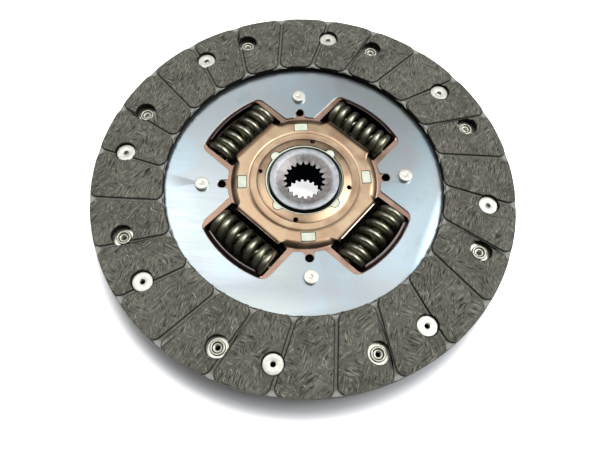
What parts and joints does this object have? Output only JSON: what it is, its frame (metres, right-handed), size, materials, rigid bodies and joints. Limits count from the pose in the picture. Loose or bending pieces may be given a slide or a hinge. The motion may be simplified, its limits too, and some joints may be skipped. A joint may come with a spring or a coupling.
{
  "type": "clutch disc",
  "caption": "Dry clutch friction disc: grooved ring linings riveted to a wavy steel disc, damper springs in pressed windows, splined sliding hub.",
  "frame": {"origin": "centre of the hub's rear end face, on the spline axis, the lowest point at rest", "axes": "+Z along the spline axis towards the pressure plate side; stop pins stand on X and Y, spring windows halfway between"},
  "size_m": [0.225, 0.225, 0.024],
  "materials": {
    "lining": "moulded organic friction lining with fibre flecks",
    "cushion_steel": "bright rolled spring steel",
    "plated_rivets": "bright plated steel",
    "copper_plate": "pressed steel sheet with a thin copper-brown coat",
    "bush_polymer": "moulded pale polymer",
    "washer_steel": "oiled spring steel",
    "plated_pins": "bright riveted heads",
    "spring_steel": "oil-blackened spring wire",
    "inner_spring_steel": "oil-blackened spring wire",
    "hub_steel": "turned and broached steel forging"
  },
  "bodies": {
    "plates": {"front_lining": "lining", "rear_lining": "lining", "cushion_disc": "cushion_steel", "front_lining_rivets": "plated_rivets", "rear_lining_rivets": "plated_rivets", "front_plate": "copper_plate", "rear_plate": "copper_plate", "centring_bush": "bush_polymer", "friction_ring": "bush_polymer", "friction_washer": "bush_polymer", "pressure_washer": "washer_steel", "diaphragm_spring": "washer_steel", "rear_bush": "bush_polymer", "stop_pin_1": "plated_pins", "stop_pin_2": "plated_pins", "stop_pin_3": "plated_pins", "stop_pin_4": "plated_pins"},
    "hub": {"hub": "hub_steel"},
    "springs": {"outer_spring_1": "spring_steel", "inner_spring_1": "inner_spring_steel", "outer_spring_2": "spring_steel", "inner_spring_2": "inner_spring_steel", "outer_spring_3": "spring_steel", "inner_spring_3": "inner_spring_steel", "outer_spring_4": "spring_steel", "inner_spring_4": "inner_spring_steel"}
  },
  "joints": [
    {"name": "hub_turn", "type": "hinge", "parent": "plates", "child": "hub", "pos_m": [0, 0, 0], "axis": [0, 0, 1], "range_deg": [-8, 8], "stiffness_Nm_per_rad": 600},
    {"name": "spring_turn", "type": "hinge", "parent": "plates", "child": "springs", "pos_m": [0, 0, 0], "axis": [0, 0, 1], "range_deg": [-4, 4], "deforming": ["outer_spring_1", "inner_spring_1", "outer_spring_2", "inner_spring_2", "outer_spring_3", "inner_spring_3", "outer_spring_4", "inner_spring_4"]}
  ],
  "couplings": [
    {"joint": "spring_turn", "follows": "hub_turn", "ratio": 0.5}
  ]
}
